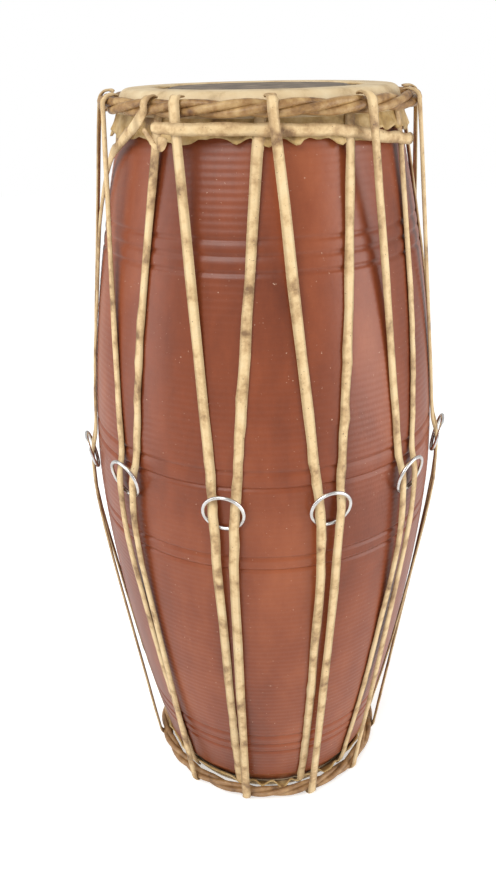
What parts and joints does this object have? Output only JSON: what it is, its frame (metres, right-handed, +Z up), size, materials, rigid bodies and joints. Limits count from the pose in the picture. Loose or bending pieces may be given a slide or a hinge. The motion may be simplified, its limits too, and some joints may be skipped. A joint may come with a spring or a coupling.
{
  "type": "madal drum",
  "caption": "Barrel drum with two laced hide heads, twisted hide hoops, raw hide lacing and sliding metal tuning rings.",
  "frame": {"origin": "centre of the small head's flat rest face, on the drum's axis, at floor level", "axes": "+Z up along the drum's axis, from the small head to the large head; -Y faces the pictured side"},
  "size_m": [0.2566, 0.258, 0.518],
  "materials": {
    "painted_shell": "glossy paint",
    "skin": "matt",
    "collar_hide": "matt",
    "tuning_paste": "matt",
    "twisted_hide": "satin",
    "lace_hide": "matt",
    "ring_steel": "satin"
  },
  "bodies": {
    "drum": {"shell": "painted_shell", "large_head_skin": "skin", "large_head_collar": "collar_hide", "large_head_paste": "tuning_paste", "large_head_hoop": "twisted_hide", "small_head_skin": "skin", "small_head_collar": "collar_hide", "small_head_paste": "tuning_paste", "small_head_hoop": "twisted_hide", "lace_01_left": "lace_hide", "lace_01_right": "lace_hide", "lace_02_left": "lace_hide", "lace_02_right": "lace_hide", "lace_03_left": "lace_hide", "lace_03_right": "lace_hide", "lace_04_left": "lace_hide", "lace_04_right": "lace_hide", "lace_05_left": "lace_hide", "lace_05_right": "lace_hide", "lace_06_left": "lace_hide", "lace_06_right": "lace_hide", "lace_07_left": "lace_hide", "lace_07_right": "lace_hide", "lace_08_left": "lace_hide", "lace_08_right": "lace_hide", "lace_09_left": "lace_hide", "lace_09_right": "lace_hide", "lace_10_left": "lace_hide", "lace_10_right": "lace_hide", "lace_11_left": "lace_hide", "lace_11_right": "lace_hide", "lace_girdle": "lace_hide", "lace_knot": "lace_hide", "lace_end_tab": "lace_hide"},
    "ring_01": {"tuning_ring_01": "ring_steel"},
    "ring_02": {"tuning_ring_02": "ring_steel"},
    "ring_03": {"tuning_ring_03": "ring_steel"},
    "ring_04": {"tuning_ring_04": "ring_steel"},
    "ring_05": {"tuning_ring_05": "ring_steel"},
    "ring_06": {"tuning_ring_06": "ring_steel"},
    "ring_07": {"tuning_ring_07": "ring_steel"},
    "ring_08": {"tuning_ring_08": "ring_steel"},
    "ring_09": {"tuning_ring_09": "ring_steel"},
    "ring_10": {"tuning_ring_10": "ring_steel"},
    "ring_11": {"tuning_ring_11": "ring_steel"}
  },
  "joints": [
    {"name": "ring_01_slide", "type": "slide", "parent": "drum", "child": "ring_01", "axis": [0, 0, -1], "range_m": [0, 0.03]},
    {"name": "ring_02_slide", "type": "slide", "parent": "drum", "child": "ring_02", "axis": [0, 0, -1], "range_m": [0, 0.03]},
    {"name": "ring_03_slide", "type": "slide", "parent": "drum", "child": "ring_03", "axis": [0, 0, -1], "range_m": [0, 0.03]},
    {"name": "ring_04_slide", "type": "slide", "parent": "drum", "child": "ring_04", "axis": [0, 0, -1], "range_m": [0, 0.03]},
    {"name": "ring_05_slide", "type": "slide", "parent": "drum", "child": "ring_05", "axis": [0, 0, -1], "range_m": [0, 0.03]},
    {"name": "ring_06_slide", "type": "slide", "parent": "drum", "child": "ring_06", "axis": [0, 0, -1], "range_m": [0, 0.03]},
    {"name": "ring_07_slide", "type": "slide", "parent": "drum", "child": "ring_07", "axis": [0, 0, -1], "range_m": [0, 0.03]},
    {"name": "ring_08_slide", "type": "slide", "parent": "drum", "child": "ring_08", "axis": [0, 0, -1], "range_m": [0, 0.03]},
    {"name": "ring_09_slide", "type": "slide", "parent": "drum", "child": "ring_09", "axis": [0, 0, -1], "range_m": [0, 0.03]},
    {"name": "ring_10_slide", "type": "slide", "parent": "drum", "child": "ring_10", "axis": [0, 0, -1], "range_m": [0, 0.03]},
    {"name": "ring_11_slide", "type": "slide", "parent": "drum", "child": "ring_11", "axis": [0, 0, -1], "range_m": [0, 0.03]}
  ]
}
